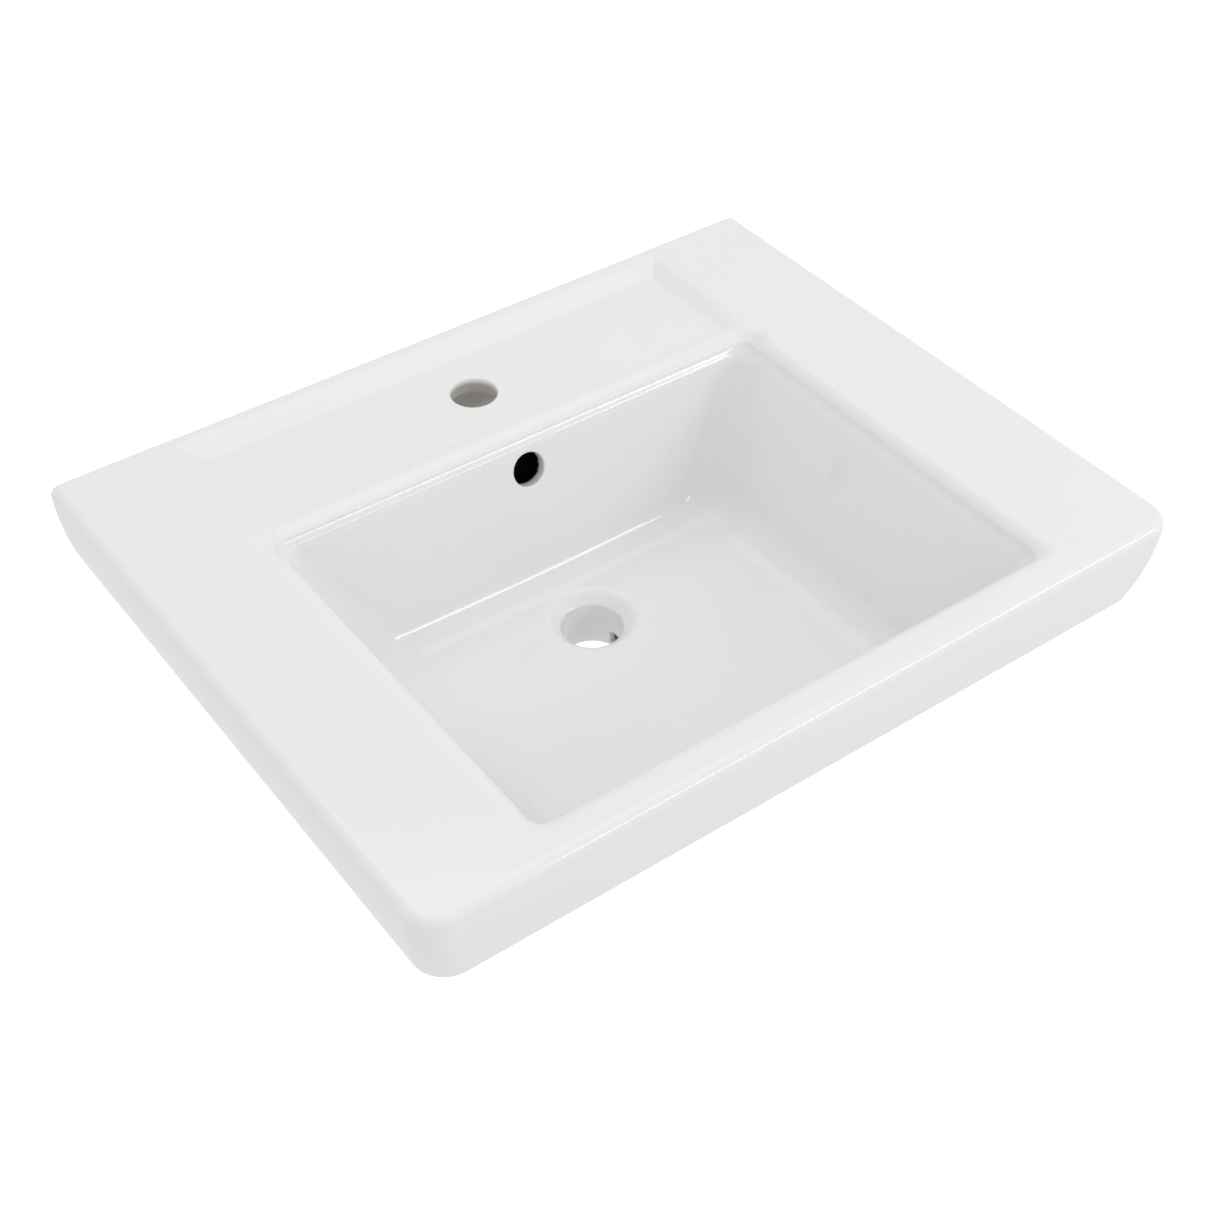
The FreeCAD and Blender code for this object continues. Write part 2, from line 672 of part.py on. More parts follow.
def ring(name, inside, outside, near_end, far_end):
    return turned(name, [(inside, near_end), (outside, near_end), (outside, far_end),
                         (inside, far_end)])


def hanger_bolt(side):
    """Machine thread into the room, wood screw into the wall, plain collar between them."""
    crest, collar = "sizes.bolt_diameter / 2", "sizes.bolt_collar_diameter / 2"
    half_collar = "sizes.bolt_collar / 2"
    bevel = "(sizes.bolt_diameter - sizes.bolt_collar_diameter)"
    return turned(side + "_hanger_bolt", [
        ("0", "-sizes.bolt_room_length"),
        (f"{crest} - {bevel}", "-sizes.bolt_room_length"),
        (crest, f"-sizes.bolt_room_length + {bevel}"),
        (crest, f"-{half_collar}"),
        (collar, f"-{half_collar}"),
        (collar, half_collar),
        (crest, half_collar),
        (crest, "sizes.bolt_wall_length - sizes.bolt_point"),
        ("0", "sizes.bolt_wall_length"),
    ])


def wall_plug(side):
    """A nylon tube with a plain mouth and barbed legs, slit so that the screw spreads it."""
    inside = "sizes.bolt_diameter / 2 + sizes.thread_gap"
    outside, root = "sizes.plug_diameter / 2", "sizes.plug_diameter / 2 - sizes.plug_barb"
    barb = "(sizes.plug_length - sizes.plug_mouth) / sizes.plug_barbs"
    corners = [(inside, "0"), (outside, "0")]
    for number in range(int(size("plug_barbs"))):
        begin = f"sizes.plug_mouth + {number} * {barb}"
        corners += [(outside, begin), (root, f"{begin} + {barb} / 4")]
    corners += [(root, "sizes.plug_length"), (inside, "sizes.plug_length")]
    tube = turned(side + "_plug_tube", corners)
    slit = box(side + "_plug_slit", "sizes.plug_slit", "sizes.plug_length",
               "2 * sizes.plug_diameter", "-sizes.plug_slit / 2", "sizes.plug_mouth",
               "-sizes.plug_diameter")
    return cut(side + "_wall_plug", tube, [slit])


def sleeve(side):
    """A nylon bush that keeps the steel off the china, with a collar under the washer."""
    inside = "sizes.bolt_diameter / 2 + sizes.bolt_gap"
    tube = "sizes.fixing_hole / 2 - sizes.sleeve_gap"
    seat = "-sizes.panel_thickness"
    return turned(side + "_sleeve", [
        (inside, f"{seat} - sizes.sleeve_flange_thickness"),
        ("sizes.sleeve_flange / 2", f"{seat} - sizes.sleeve_flange_thickness"),
        ("sizes.sleeve_flange / 2", seat),
        (tube, seat),
        (tube, "-sizes.sleeve_setback"),
        (inside, "-sizes.sleeve_setback"),
    ])


WASHER_SEAT = "-sizes.panel_thickness - sizes.sleeve_flange_thickness"
NUT_SEAT = f"{WASHER_SEAT} - sizes.washer_thickness"


def washer(side):
    return ring(side + "_washer", "sizes.bolt_diameter / 2 + sizes.bolt_gap",
                "sizes.washer_diameter / 2", NUT_SEAT, WASHER_SEAT)


def nut(side):
    """A hexagon nut, its corners chamfered at both ends."""
    prism = doc.addObject("Part::Prism", side + "_nut_prism")
    prism.Polygon = 6
    prism.Placement = Placement(Vector(), INTO_WALL)
    bind(prism, Circumradius="sizes.nut_flats / sqrt(3)", Height="sizes.nut_height")
    move(prism, y=f"{NUT_SEAT} - sizes.nut_height")
    corner, flat = "sizes.nut_flats / sqrt(3)", "sizes.nut_flats / 2"
    bevel = f"({corner} - {flat}) / sqrt(3)"
    bore = "sizes.bolt_diameter / 2 + sizes.thread_gap"
    blank = turned(side + "_nut_blank", [
        (bore, NUT_SEAT),
        (flat, NUT_SEAT),
        (corner, f"{NUT_SEAT} - {bevel}"),
        (corner, f"{NUT_SEAT} - sizes.nut_height + {bevel}"),
        (flat, f"{NUT_SEAT} - sizes.nut_height"),
        (bore, f"{NUT_SEAT} - sizes.nut_height"),
    ])
    return common(side + "_nut", prism, blank)


# ---------------------------------------------------------------- the assembly

nodes = {"basin": move(basin(), z="sizes.fixing_drop")}
for side, sign in (("left", -1), ("right", 1)):
    for piece in (hanger_bolt(side), wall_plug(side), sleeve(side), washer(side), nut(side)):
        nodes[piece.Name] = move(piece, x=fixing_x(sign))
for name, item in nodes.items():
    item.Label = name
doc.recompute()

for item in doc.Objects:
    if "Invalid" in item.State or "Error" in item.State:
        raise RuntimeError(f"{item.Name} failed: {item.State}")
for name, item in nodes.items():
    if item.Shape.isNull() or not item.Shape.isValid():
        raise RuntimeError(f"{name} has no valid shape")
for name, item in nodes.items():
    item.Shape.exportStep(f"parts/{name}.step")
    print(name, len(item.Shape.Solids), "solid,", round(item.Shape.Volume / 1000, 2), "cm3")
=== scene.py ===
"""A white glazed washbasin with its wall fixings, on a pale floor in soft studio light.

The basin's surface is worked out from one smooth distance field, so that every edge has the
soft rounding that glaze gives it. Its lengths and the fixings' are millimetres, measured from
the wall (y = 0), the middle of the basin (x = 0) and the rim (z = 0), until a mesh is made.
Places in the studio are metres in the frame's own axes."""

import math

import bmesh
import bpy
import numpy as np
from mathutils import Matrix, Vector


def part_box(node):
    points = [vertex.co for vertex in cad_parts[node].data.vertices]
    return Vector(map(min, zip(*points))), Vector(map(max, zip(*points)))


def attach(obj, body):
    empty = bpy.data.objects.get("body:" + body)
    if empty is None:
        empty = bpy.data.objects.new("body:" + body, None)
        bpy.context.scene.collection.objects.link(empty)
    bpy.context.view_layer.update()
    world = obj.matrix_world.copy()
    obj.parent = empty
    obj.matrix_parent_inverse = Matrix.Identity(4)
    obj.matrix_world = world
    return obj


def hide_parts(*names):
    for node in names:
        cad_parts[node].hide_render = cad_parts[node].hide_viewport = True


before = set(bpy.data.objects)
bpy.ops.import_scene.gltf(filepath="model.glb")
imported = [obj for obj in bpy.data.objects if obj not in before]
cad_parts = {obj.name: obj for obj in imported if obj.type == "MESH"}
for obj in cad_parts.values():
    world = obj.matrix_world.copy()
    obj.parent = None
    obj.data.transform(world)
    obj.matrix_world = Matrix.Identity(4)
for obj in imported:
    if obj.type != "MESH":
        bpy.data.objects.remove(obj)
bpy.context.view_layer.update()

MM = 0.001
basin_low, basin_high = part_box("basin")
RIM_HEIGHT = basin_high.z / MM
HALF_WIDTH = basin_high.x / MM
DEPTH = -basin_low.y / MM
THROAT_END = (basin_low.z - basin_high.z) / MM

# ---------------------------------------------------------------- the basin's dimensions, mm

SKIRT_HEIGHT = 70
SKIRT_INSET = 10.8
SKIRT_WALL = 11
DECK_THICKNESS = 13
FRONT_CORNER_RADIUS = 22
TOP_EDGE_RADIUS = 7.5
REAR_EDGE_RADIUS = 2.5
BOTTOM_EDGE_RADIUS = 2

TAP_DECK_HALF = 215
TAP_DECK_DROP = 7
SIDE_STEP_RUN = 20
REAR_STEP_RUN = 28
REAR_LEDGE = 6
SLAB_MARGIN = 10

MOUTH_HALF = 209
MOUTH_REAR = 135
FRONT_RIM = 29
BOWL_DEPTH = 121
FLOOR_FALL = 2.5
SIDE_SLANT = math.radians(25.6)
END_SLANT = math.radians(16)
MOUTH_CORNER_RADIUS = 9
FLOOR_CORNER_RADIUS = 30
FLOOR_FILLET = 18
MOUTH_EDGE_RADIUS = 8
REAR_LIP_RADIUS = 13
BOWL_WALL = 11

TAP_DISTANCE = 73
TAP_HOLE = 35
TAP_BORE_END = 60
WASTE_DISTANCE = 222
WASTE_HOLE = 46
WASTE_SEAT = 64
SEAT_DEPTH = 8
BOSS_RADIUS = 43
OVERFLOW_HOLE = 26
OVERFLOW_DROP = 34
DUCT_HALF = 15
DUCT_GAP = 14
DUCT_WALL = 9
PORT_HEIGHT = 10
PORT_HALF = 8
PORT_LIFT = 4
YOKE_RADIUS = 31
YOKE_HALF = 3

PANEL_HALF = 196
PANEL_HEIGHT = 125
PANEL_THICKNESS = 13
PANEL_CORNER = 25
FIXING_SPREAD = 140
FIXING_DROP = 85
FIXING_HOLE = 16

# The two wall fixings, whose holes are the FIXING values above.
BOLT_RADIUS = 5
BOLT_PITCH = 1.5
BOLT_THREAD_DEPTH = 0.9
WOOD_PITCH = 4.2
WOOD_THREAD_DEPTH = 1.4
BOLT_IN_ROOM = 38
BOLT_IN_WALL = 66
BOLT_POINT = 9
COLLAR_HALF = 6
COLLAR_RADIUS = 4.4
PLUG_RADIUS = 7
PLUG_LENGTH = 70
PLUG_MOUTH = 12
PLUG_BARBS = 6
PLUG_BARB = 0.7
PLUG_SLIT = 2
SLEEVE_RADIUS = 7.75
SLEEVE_COLLAR_RADIUS = 15
SLEEVE_COLLAR = 3
SLEEVE_SETBACK = 1
WASHER_RADIUS = 12
WASHER_THICKNESS = 2
NUT_FLATS = 17
NUT_HEIGHT = 8
CLOSE_BORE = BOLT_RADIUS + 0.05
LOOSE_BORE = BOLT_RADIUS + 0.3

GRID = 1.5

# ---------------------------------------------------------------- camera and studio, metres

# The lens and the sensor are millimetres.

CAMERA_PLACE = (-0.6300, -1.1044, 0.9577)
CAMERA_HEADING = math.radians(36.1)
CAMERA_TILT = math.radians(42.26)
CAMERA_LENS = 59.37
CAMERA_SENSOR = 36
FLOOR_HEIGHT = -0.78
FLOOR_REACH = 30
FLOOR_GLOW = 0.5
WORLD_BRIGHTNESS = 0.82
KEY_STRENGTH = 0.36
KEY_SPREAD = math.radians(50)
KEY_FROM = (0.1, 0.25, 0.96)
STRIP_PLACE = (1.2, -1.95, 1.0)
STRIP_TARGET = (0, -0.25, 0.05)
STRIP_WIDTH = 1.5
STRIP_HEIGHT = 0.28
STRIP_RADIANCE = 6.0

# ---------------------------------------------------------------- joining shapes smoothly


def meet(a, b, radius):
    """What lies inside both shapes, with the edge between them rounded."""
    corner = np.hypot(np.maximum(a + radius, 0), np.maximum(b + radius, 0))
    return np.minimum(np.maximum(a, b), -radius) + corner


def join(a, b, radius):
    """What lies inside either shape, with a fillet between them."""
    return -meet(-a, -b, radius)


def carve(a, tool, radius):
    """Shape a less the tool, with the lip rounded."""
    return meet(a, -tool, radius)


def ramp(value, start, end):
    """0 at start, 1 at end, easing in and out."""
    t = np.clip((value - start) / (end - start), 0, 1)
    return t * t * (3 - 2 * t)


# ---------------------------------------------------------------- the basin's distance field


def relief(x, y):
    """How far the tap deck lies below the rim: a soft step at its back and two sides."""
    side = ramp(-np.abs(x), -TAP_DECK_HALF - 1, -TAP_DECK_HALF + SIDE_STEP_RUN)
    rear = ramp(-y, REAR_LEDGE, REAR_LEDGE + REAR_STEP_RUN)
    front = ramp(y, -MOUTH_REAR - 30, -MOUTH_REAR - 12)
    crease = 0.08
    both = 0.5 * (side + rear - np.sqrt((side - rear) ** 2 + crease ** 2) + crease)
    return TAP_DECK_DROP * np.clip(both, 0, 1) * front


def outside(x, y, z):
    """The block that the rim and the skirt enclose."""
    bulge = (SKIRT_HEIGHT ** 2 + SKIRT_INSET ** 2) / (2 * SKIRT_INSET)
    below = np.minimum(z, 0)
    side = np.hypot(np.maximum(np.abs(x) - HALF_WIDTH + bulge, 0), below) - bulge
    front = np.hypot(np.maximum(-y - DEPTH + bulge, 0), below) - bulge
    plan = meet(side, front, FRONT_CORNER_RADIUS)
    block = meet(plan, z + relief(x, y), TOP_EDGE_RADIUS)
    block = meet(block, y, REAR_EDGE_RADIUS)
    return meet(block, -SKIRT_HEIGHT - z, BOTTOM_EDGE_RADIUS)


def hollow(x, y, z):
    """The space inside the skirt."""
    inner = SKIRT_INSET + SKIRT_WALL
    plan = meet(np.abs(x) - HALF_WIDTH + inner, -y - DEPTH + inner, FRONT_CORNER_RADIUS - 5)
    plan = meet(plan, y + PANEL_THICKNESS, 8)
    return meet(plan, z + DECK_THICKNESS, 6)


def behind_bowl(y, z):
    """Distance behind the bowl's back wall, measured square to it."""
    return (y + MOUTH_REAR - z * math.tan(END_SLANT)) * math.cos(END_SLANT)


def bowl(x, y, z):
    """The water's side of the bowl."""
    front = -(y + DEPTH - FRONT_RIM + z * math.tan(END_SLANT)) * math.cos(END_SLANT)
    side = (np.abs(x) - MOUTH_HALF - z * math.tan(SIDE_SLANT)) * math.cos(SIDE_SLANT)
    deep = np.clip(-z / BOWL_DEPTH, 0, 1)
    corner = MOUTH_CORNER_RADIUS + (FLOOR_CORNER_RADIUS - MOUTH_CORNER_RADIUS) * deep
    walls = meet(meet(side, behind_bowl(y, z), corner), front, corner)
    from_waste = np.hypot(x, y + WASTE_DISTANCE)
    floor = -BOWL_DEPTH - FLOOR_FALL * (1 - ramp(from_waste, 0, 200)) - z
    return meet(walls, floor, FLOOR_FILLET)


def channel_back(y, z):
    """Distance behind the back wall of the overflow channel."""
    return behind_bowl(y, z) - BOWL_WALL - DUCT_GAP


def duct(x, y, z, spread):
    """The overflow channel behind the bowl, or its outside where spread is its wall."""
    run = meet(channel_back(y, z) - spread, np.abs(x) - DUCT_HALF - spread, 1 + spread / 2)
    run = np.maximum(run, z + DECK_THICKNESS + TAP_DECK_DROP)
    return np.maximum(run, -y - WASTE_DISTANCE)


def panel(x, y, z):
    """The slab that lies against the wall."""
    plan = meet(np.abs(x) - PANEL_HALF, -z - PANEL_HEIGHT, PANEL_CORNER)
    plan = np.maximum(plan, z + DECK_THICKNESS / 2)
    return meet(meet(plan, y, 2), -y - PANEL_THICKNESS, 3)


def basin_field(x, y, z):
    """Below 0 inside the china, above 0 outside it."""
    from_waste = np.hypot(x, y + WASTE_DISTANCE)
    water = bowl(x, y, z)
    china = carve(outside(x, y, z), hollow(x, y, z), 2)

    slab = meet(np.abs(x) - TAP_DECK_HALF - SLAB_MARGIN, -y - MOUTH_REAR - BOWL_WALL, 3)
    slab = meet(slab, -z - TAP_DECK_DROP - DECK_THICKNESS, 3)
    slab = np.maximum(np.maximum(slab, z + DECK_THICKNESS), y + PANEL_THICKNESS / 2)
    china = join(china, slab, 5)
    china = join(china, np.maximum(water - BOWL_WALL, z + DECK_THICKNESS - 2), 8)
    boss = meet(from_waste - BOSS_RADIUS, THROAT_END - z, 2)
    china = join(china, np.maximum(boss, z + BOWL_DEPTH), 7)
    leg = meet(duct(x, y, z, DUCT_WALL), THROAT_END - z, 2)
    china = join(china, leg, 6)
    china = join(china, panel(x, y, z), 6)
    china = np.maximum(china, np.maximum(y, THROAT_END - z))

    near_rim = ramp(z, -34, -16)
    at_back = ramp(y, -MOUTH_REAR - 22, -MOUTH_REAR - 6)
    lip = MOUTH_EDGE_RADIUS + (REAR_LIP_RADIUS - MOUTH_EDGE_RADIUS) * at_back
    china = carve(china, water, 1 + (lip - 1) * near_rim)

    seat_floor = -BOWL_DEPTH - FLOOR_FALL - SEAT_DEPTH
    slope = (WASTE_SEAT - WASTE_HOLE) / 2 / SEAT_DEPTH
    seat = from_waste - WASTE_HOLE / 2 - (z - seat_floor) * slope
    seat = meet(seat / math.hypot(1, slope), seat_floor - z, 1)
    seat = np.maximum(seat, z + BOWL_DEPTH - SEAT_DEPTH)
    china = carve(china, seat, 2.5)
    china = carve(china, from_waste - WASTE_HOLE / 2, 1.5)

    tap = np.maximum(np.hypot(x, y + TAP_DISTANCE) - TAP_HOLE / 2, -z - TAP_BORE_END)
    china = carve(china, tap, 1.2)
    height = z + OVERFLOW_DROP
    from_face = y + MOUTH_REAR + OVERFLOW_DROP * math.tan(END_SLANT)
    along_wall = height * math.cos(END_SLANT) + from_face * math.sin(END_SLANT)
    overflow = np.hypot(x, along_wall) - OVERFLOW_HOLE / 2
    overflow = np.maximum(overflow, behind_bowl(y, z) - BOWL_WALL - DUCT_GAP / 2)
    china = carve(china, np.maximum(overflow, -behind_bowl(y, z) - 20), 1.5)

    port_middle = THROAT_END + PORT_LIFT + PORT_HEIGHT / 2
    port = np.abs(z - port_middle) - PORT_HEIGHT / 2
    channel = duct(x, y, z, 0)
    channel = np.maximum(channel, BOWL_WALL - behind_bowl(y, z))
    channel = np.maximum(channel, port_middle - PORT_HEIGHT / 2 - z)
    yoke = np.maximum(np.abs(from_waste - YOKE_RADIUS) - YOKE_HALF, port)
    yoke = np.maximum(yoke, -y - WASTE_DISTANCE - PORT_HALF)
    ports = np.maximum(np.maximum(port, np.abs(y + WASTE_DISTANCE) - PORT_HALF),
                       from_waste - YOKE_RADIUS)
    link = np.maximum(np.maximum(port, np.abs(x) - DUCT_HALF),
                      YOKE_RADIUS - YOKE_HALF - from_waste)
    link = np.maximum(np.maximum(link, -y - WASTE_DISTANCE), channel_back(y, z))
    china = carve(china, np.minimum(np.minimum(channel, yoke), np.minimum(ports, link)), 0.8)

    fixing = np.hypot(np.abs(x) - FIXING_SPREAD, z + FIXING_DROP) - FIXING_HOLE / 2
    fixing = np.maximum(fixing, -y - 2 * PANEL_THICKNESS)
    return carve(china, fixing, 1)


# ---------------------------------------------------------------- from field to mesh


def mirrored_grid(step):
    """Points across half the basin and the field there, mirrored about its middle."""
    x = np.arange(0, HALF_WIDTH + 2 * step, step, dtype=np.float32)
    y = np.arange(-DEPTH - 2 * step, 3 * step, step, dtype=np.float32)
    z = np.arange(THROAT_END - 2 * step, 3 * step, step, dtype=np.float32)
    half = np.empty((len(x), len(y), len(z)), np.float32)
    slab = 16
    for first in range(0, len(x), slab):
        part = x[first:first + slab, None, None]
        half[first:first + slab] = basin_field(part, y[None, :, None], z[None, None, :])
    corner = np.array([-x[-1], y[0], z[0]], float)
    return np.concatenate([half[:0:-1], half]), corner


def surface_net(field, corner, step):
    """One vertex in each cell that the surface passes through, and a quad across each grid
    edge that it crosses."""
    inside = field < 0
    count = np.zeros(np.array(field.shape) - 1, np.uint8)
    for i in (0, 1):
        for j in (0, 1):
            for k in (0, 1):
                count += inside[i:i + count.shape[0], j:j + count.shape[1],
                                k:k + count.shape[2]]
    active = (count > 0) & (count < 8)
    number = np.full(count.shape, -1, np.int32)
    number[active] = np.arange(np.count_nonzero(active))
    spots = corner + (np.argwhere(active) + 0.5) * step
    quads = []
    for axis in range(3):
        a, b = (axis + 1) % 3, (axis + 2) % 3
        lower = np.take(inside, range(inside.shape[axis] - 1), axis)
        upper = np.take(inside, range(1, inside.shape[axis]), axis)
        edges = np.argwhere(lower != upper)
        leaving = lower[tuple(edges.T)]
        around = []
        for da, db in ((0, 0), (1, 0), (1, 1), (0, 1)):
            cell = edges.copy()
            cell[:, a] -= da
            cell[:, b] -= db
            around.append(number[tuple(cell.T)])
        ring = np.stack(around, 1)
        ring[~leaving] = ring[~leaving][:, ::-1]
        quads.append(ring)
    return spots, np.concatenate(quads)


def slope_at(spots, reach=0.15):
    """The field at these points and its gradient."""
    x, y, z = spots.T
    gradient = np.empty_like(spots)
    for axis in range(3):
        ahead, behind = [x, y, z], [x, y, z]
        ahead[axis] = ahead[axis] + reach
        behind[axis] = behind[axis] - reach
        gradient[:, axis] = (basin_field(*ahead) - basin_field(*behind)) / (2 * reach)
    return basin_field(x, y, z), gradient


def onto_surface(spots, rounds=2):
    """Moves each point along the field's slope until the field is 0 there."""
    for _ in range(rounds):
        value, gradient = slope_at(spots)
        steep = np.maximum((gradient ** 2).sum(1), 0.2)
        spots = spots - gradient * (value / steep)[:, None]
    return spots


def new_piece(name, spots, faces, material_slots, smooth=True):
    """A mesh object of points in millimetres from the wall, the middle and the rim."""
    mesh = bpy.data.meshes.new(name)
    placed = np.array(spots, float) * MM
    placed[:, 2] += RIM_HEIGHT * MM
    mesh.vertices.add(len(placed))
    mesh.vertices.foreach_set("co", placed.astype(np.float32).ravel())
    faces = np.asarray(faces, np.int32)
    mesh.loops.add(faces.size)
    mesh.loops.foreach_set("vertex_index", faces.ravel())
    mesh.polygons.add(len(faces))
    mesh.polygons.foreach_set("loop_start", np.arange(0, faces.size, faces.shape[1]))
    mesh.update(calc_edges=True)
    mesh.validate()
    if smooth:
        mesh.shade_smooth()
    for material in material_slots:
        mesh.materials.append(material)
    piece = bpy.data.objects.new(name, mesh)
    bpy.context.scene.collection.objects.link(piece)
    return piece


def make_basin(material):
    field, corner = mirrored_grid(GRID)
    spots, quads = surface_net(field, corner, GRID)
    spots = onto_surface(spots)
    piece = new_piece("washbasin", spots, quads, [material])
    normals = slope_at(spots)[1]
    normals /= np.linalg.norm(normals, axis=1)[:, None]
    piece.data.normals_split_custom_set_from_vertices(normals)

    x, y, z = spots.T
    # The unglazed mask made here (the face against the wall and the underside inside the
    # skirt) is partly real unglazed china and partly painted shade: its colour is set darker
    # than real bisque to stand for the shade that falls there.
    on_wall = ramp(y, -1.5, -0.5)
    inner = SKIRT_INSET + SKIRT_WALL / 2
    inside_skirt = (np.maximum(np.abs(x) - HALF_WIDTH, -y - DEPTH) < -inner)
    in_dish = z > -BOWL_DEPTH - FLOOR_FALL - SEAT_DEPTH - 1
    waste_radius = np.where(in_dish, WASTE_SEAT, WASTE_HOLE) / 2
    wet = np.minimum(bowl(x, y, z), np.hypot(x, y + WASTE_DISTANCE) - waste_radius)
    underneath = ramp(-z, DECK_THICKNESS - 4, DECK_THICKNESS - 1) * ramp(wet, 6, 9)
    underneath *= inside_skirt
    # Painted shade: the inside of the overflow channel is coloured near-black to stand for the
    # shade in the closed duct.
    painted_shade_in_channel = duct(x, y, z, 1) < 0
    painted_shade_in_channel &= behind_bowl(y, z) > BOWL_WALL - 3
    add_layer(piece, "bare_clay_and_painted_shade", np.maximum(on_wall, underneath))
    add_layer(piece, "overflow_channel", painted_shade_in_channel)
    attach(piece, "root")
    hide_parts("basin")


def add_layer(piece, name, values):
    layer = piece.data.attributes.new(name, "FLOAT", "POINT")
    layer.data.foreach_set("value", np.asarray(values, np.float32))


# ---------------------------------------------------------------- the two wall fixings


def rounded(corners, radius):
    """A closed outline with each corner eased by a short curve."""
    corners = [np.array(corner, float) for corner in corners]
    points = []
    for before, corner, after in zip(corners[-1:] + corners[:-1], corners,
                                     corners[1:] + corners[:1]):
        start, end = [corner + (to - corner) * min(0.45, radius / np.linalg.norm(to - corner))
                      for to in (before, after)]
        for t in (0, 1 / 3, 2 / 3, 1):
            points.append((1 - t) ** 2 * start + 2 * t * (1 - t) * corner + t * t * end)
    return points


def turned(name, side, outline, material, columns, radius_at=None):
    """An outline of (radius, distance past the wall face) turned about a fixing's axis.
    radius_at changes the radius with the angle. An outline that starts on the axis is left
    open there."""
    radius, along = [np.repeat(line[:, None], columns, 1)
                     for line in np.array(outline, float).T]
    angle = np.arange(columns) * 2 * math.pi / columns
    if radius_at is not None:
        radius = radius_at(radius, along, angle)
    spots = np.stack([side * FIXING_SPREAD + radius * np.cos(angle), along,
                      radius * np.sin(angle) - FIXING_DROP], 2)
    corner = np.arange(radius.size).reshape(radius.shape)
    above = np.roll(corner, -1, 0)
    quads = np.stack([corner, np.roll(corner, -1, 1), np.roll(above, -1, 1), above], 2)
    if outline[0][0] == 0:
        quads = quads[:-1]
    piece = new_piece(name, spots.reshape(-1, 3), quads.reshape(-1, 4), [material])
    shape = bmesh.new()
    shape.from_mesh(piece.data)
    bmesh.ops.remove_doubles(shape, verts=shape.verts, dist=0.001 * MM)
    bmesh.ops.recalc_face_normals(shape, faces=shape.faces)
    shape.to_mesh(piece.data)
    shape.free()
    piece.data.set_sharp_from_angle(angle=math.radians(35))
    return piece


def threaded(radius, along, angle):
    """A fine machine thread in the room and a coarse wood thread in the wall."""
    in_wall = along > 0
    turn = (along / np.where(in_wall, WOOD_PITCH, BOLT_PITCH) - angle / (2 * math.pi)) % 1
    from_crest = np.abs(2 * turn - 1)
    groove = np.where(in_wall, np.minimum(1, 1.8 * from_crest), from_crest)
    depth = np.where(in_wall, WOOD_THREAD_DEPTH, BOLT_THREAD_DEPTH)
    depth = depth * ramp(np.abs(along), COLLAR_HALF, COLLAR_HALF + 2)
    return radius * (1 - groove * depth / BOLT_RADIUS)


def hexagonal(radius, along, angle):
    """The nut's outside is cut to six flats, and its bore stays round."""
    flats = NUT_FLATS / 2 / np.cos(angle % (math.pi / 3) - math.pi / 6)
    return np.where(radius > BOLT_RADIUS + 1, np.minimum(radius, flats), radius)


def hanger_bolt(side, name, steel):
    bevel = BOLT_RADIUS - COLLAR_RADIUS + 0.6
    along = np.linspace(-BOLT_IN_ROOM, BOLT_IN_WALL, 520)
    radius = np.interp(along, [-BOLT_IN_ROOM, bevel - BOLT_IN_ROOM, -COLLAR_HALF - 0.1,
                               -COLLAR_HALF, COLLAR_HALF, COLLAR_HALF + 0.1,
                               BOLT_IN_WALL - BOLT_POINT, BOLT_IN_WALL],
                       [BOLT_RADIUS - bevel, BOLT_RADIUS, BOLT_RADIUS, COLLAR_RADIUS,
                        COLLAR_RADIUS, BOLT_RADIUS, BOLT_RADIUS, 0])
    outline = [(0, -BOLT_IN_ROOM)] + list(zip(radius, along))
    return turned(name, side, outline, steel, 36, threaded)


def wall_plug(side, name, nylon):
    root = PLUG_RADIUS - PLUG_BARB
    barb = (PLUG_LENGTH - PLUG_MOUTH) / PLUG_BARBS
    corners = [(CLOSE_BORE, 0), (PLUG_RADIUS, 0)]
    for number in range(PLUG_BARBS):
        begin = PLUG_MOUTH + number * barb
        corners += [(PLUG_RADIUS, begin), (root, begin + barb / 4)]
    corners += [(root, PLUG_LENGTH), (CLOSE_BORE, PLUG_LENGTH)]
    plug = turned(name, side, rounded(corners, 0.25), nylon, 64)

    half, deep = PLUG_SLIT / 2, 2 * PLUG_RADIUS
    spots = [(side * FIXING_SPREAD + x, y, z - FIXING_DROP) for x in (-half, half)
             for y in (PLUG_MOUTH, PLUG_LENGTH + deep) for z in (-deep, deep)]
    faces = [(0, 1, 3, 2), (4, 6, 7, 5), (0, 4, 5, 1), (2, 3, 7, 6), (0, 2, 6, 4),
             (1, 5, 7, 3)]
    blade = new_piece(name + "_blade", spots, faces, [], smooth=False)
    slit = plug.modifiers.new("slit", "BOOLEAN")
    slit.operation = "DIFFERENCE"
    slit.solver = "EXACT"
    slit.object = blade
    ready = plug.evaluated_get(bpy.context.evaluated_depsgraph_get())
    plug.data = bpy.data.meshes.new_from_object(ready)
    plug.modifiers.clear()
    bpy.data.objects.remove(blade)
    return plug


def sleeve(side, name, nylon):
    corners = [(LOOSE_BORE, -PANEL_THICKNESS - SLEEVE_COLLAR),
               (SLEEVE_COLLAR_RADIUS, -PANEL_THICKNESS - SLEEVE_COLLAR),
               (SLEEVE_COLLAR_RADIUS, -PANEL_THICKNESS), (SLEEVE_RADIUS, -PANEL_THICKNESS),
               (SLEEVE_RADIUS, -SLEEVE_SETBACK), (LOOSE_BORE, -SLEEVE_SETBACK)]
    return turned(name, side, rounded(corners, 0.5), nylon, 64)


def washer(side, name, steel):
    seat = -PANEL_THICKNESS - SLEEVE_COLLAR
    corners = [(LOOSE_BORE, seat - WASHER_THICKNESS), (WASHER_RADIUS, seat - WASHER_THICKNESS),
               (WASHER_RADIUS, seat), (LOOSE_BORE, seat)]
    return turned(name, side, rounded(corners, 0.3), steel, 64)


